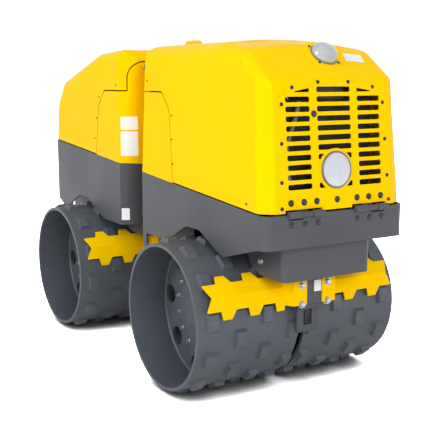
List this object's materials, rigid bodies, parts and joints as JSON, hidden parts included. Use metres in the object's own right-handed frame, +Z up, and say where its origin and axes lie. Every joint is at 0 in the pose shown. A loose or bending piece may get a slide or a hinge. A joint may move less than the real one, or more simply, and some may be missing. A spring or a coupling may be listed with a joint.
{
  "type": "articulated trench roller",
  "caption": "Articulated trench roller: an engine half and a tank half on a centre joint, each on a pair of lugged drums, with tilting hoods and drum scrapers.",
  "frame": {"origin": "on the ground under the steering pivot, midway between the drum axles", "axes": "+X towards the grille end, +Y to the left seen from behind the tank half, +Z up"},
  "size_m": [1.813, 0.82, 1.221],
  "materials": {
    "hood_yellow": "gloss",
    "scraper_yellow": "gloss",
    "frame_grey": "satin",
    "drum_grey": "satin",
    "running_steel": "satin",
    "rubber_black": "matte",
    "badge_silver": "satin",
    "lens_smoke": "gloss",
    "engine_iron": "matte",
    "radiator_black": "matte",
    "tank_black": "matte"
  },
  "bodies": {
    "engine_half": {"engine_frame": "frame_grey", "engine_inner_cover": "hood_yellow", "engine_hinge_blocks": "frame_grey", "engine_carrier": "frame_grey", "engine_tie_down": "frame_grey", "engine_aprons": "frame_grey", "engine_rubber_mounts": "rubber_black", "engine_scrapers": "scraper_yellow", "yoke": "running_steel", "lifting_mast": "scraper_yellow", "engine_block": "engine_iron", "radiator": "radiator_black"},
    "engine_lid": {"engine_hood": "hood_yellow", "grille_panel": "scraper_yellow", "badge_disc": "badge_silver", "receiver_lens": "lens_smoke", "engine_hinge_leaves": "running_steel"},
    "engine_drums": {"engine_drum_left": "drum_grey", "engine_drum_right": "drum_grey", "engine_axle": "drum_grey"},
    "centre_joint": {"centre_link": "running_steel"},
    "tank_half": {"tank_frame": "frame_grey", "tank_inner_cover": "hood_yellow", "tank_hinge_blocks": "frame_grey", "tank_carrier": "frame_grey", "tank_tie_down": "frame_grey", "tank_aprons": "frame_grey", "tank_rubber_mounts": "rubber_black", "tank_scrapers": "scraper_yellow", "trunnion_bearing": "running_steel", "tank_latches": "running_steel", "tank_block": "tank_black"},
    "tank_lid": {"tank_hood": "hood_yellow", "tank_hinge_leaves": "running_steel"},
    "tank_drums": {"tank_drum_left": "drum_grey", "tank_drum_right": "drum_grey", "tank_axle": "drum_grey"}
  },
  "joints": [
    {"name": "steering", "type": "hinge", "parent": "engine_half", "child": "centre_joint", "pos_m": [0, 0, 0.48], "axis": [0, 0, 1], "range_deg": [-30, 30]},
    {"name": "oscillation", "type": "hinge", "parent": "centre_joint", "child": "tank_half", "pos_m": [0, 0, 0.48], "axis": [1, 0, 0], "range_deg": [-6, 6]},
    {"name": "engine_drum_roll", "type": "hinge", "parent": "engine_half", "child": "engine_drums", "pos_m": [0.483, 0, 0.26881], "axis": [0, 1, 0], "continuous": true},
    {"name": "tank_drum_roll", "type": "hinge", "parent": "tank_half", "child": "tank_drums", "pos_m": [-0.483, 0, 0.26881], "axis": [0, 1, 0], "continuous": true},
    {"name": "engine_hood_lift", "type": "hinge", "parent": "engine_half", "child": "engine_lid", "pos_m": [0.928, 0, 0.66186], "axis": [0, 1, 0], "range_deg": [0, 60]},
    {"name": "tank_hood_lift", "type": "hinge", "parent": "tank_half", "child": "tank_lid", "pos_m": [-0.821, 0, 0.79774], "axis": [0, -1, 0], "range_deg": [0, 60]}
  ]
}
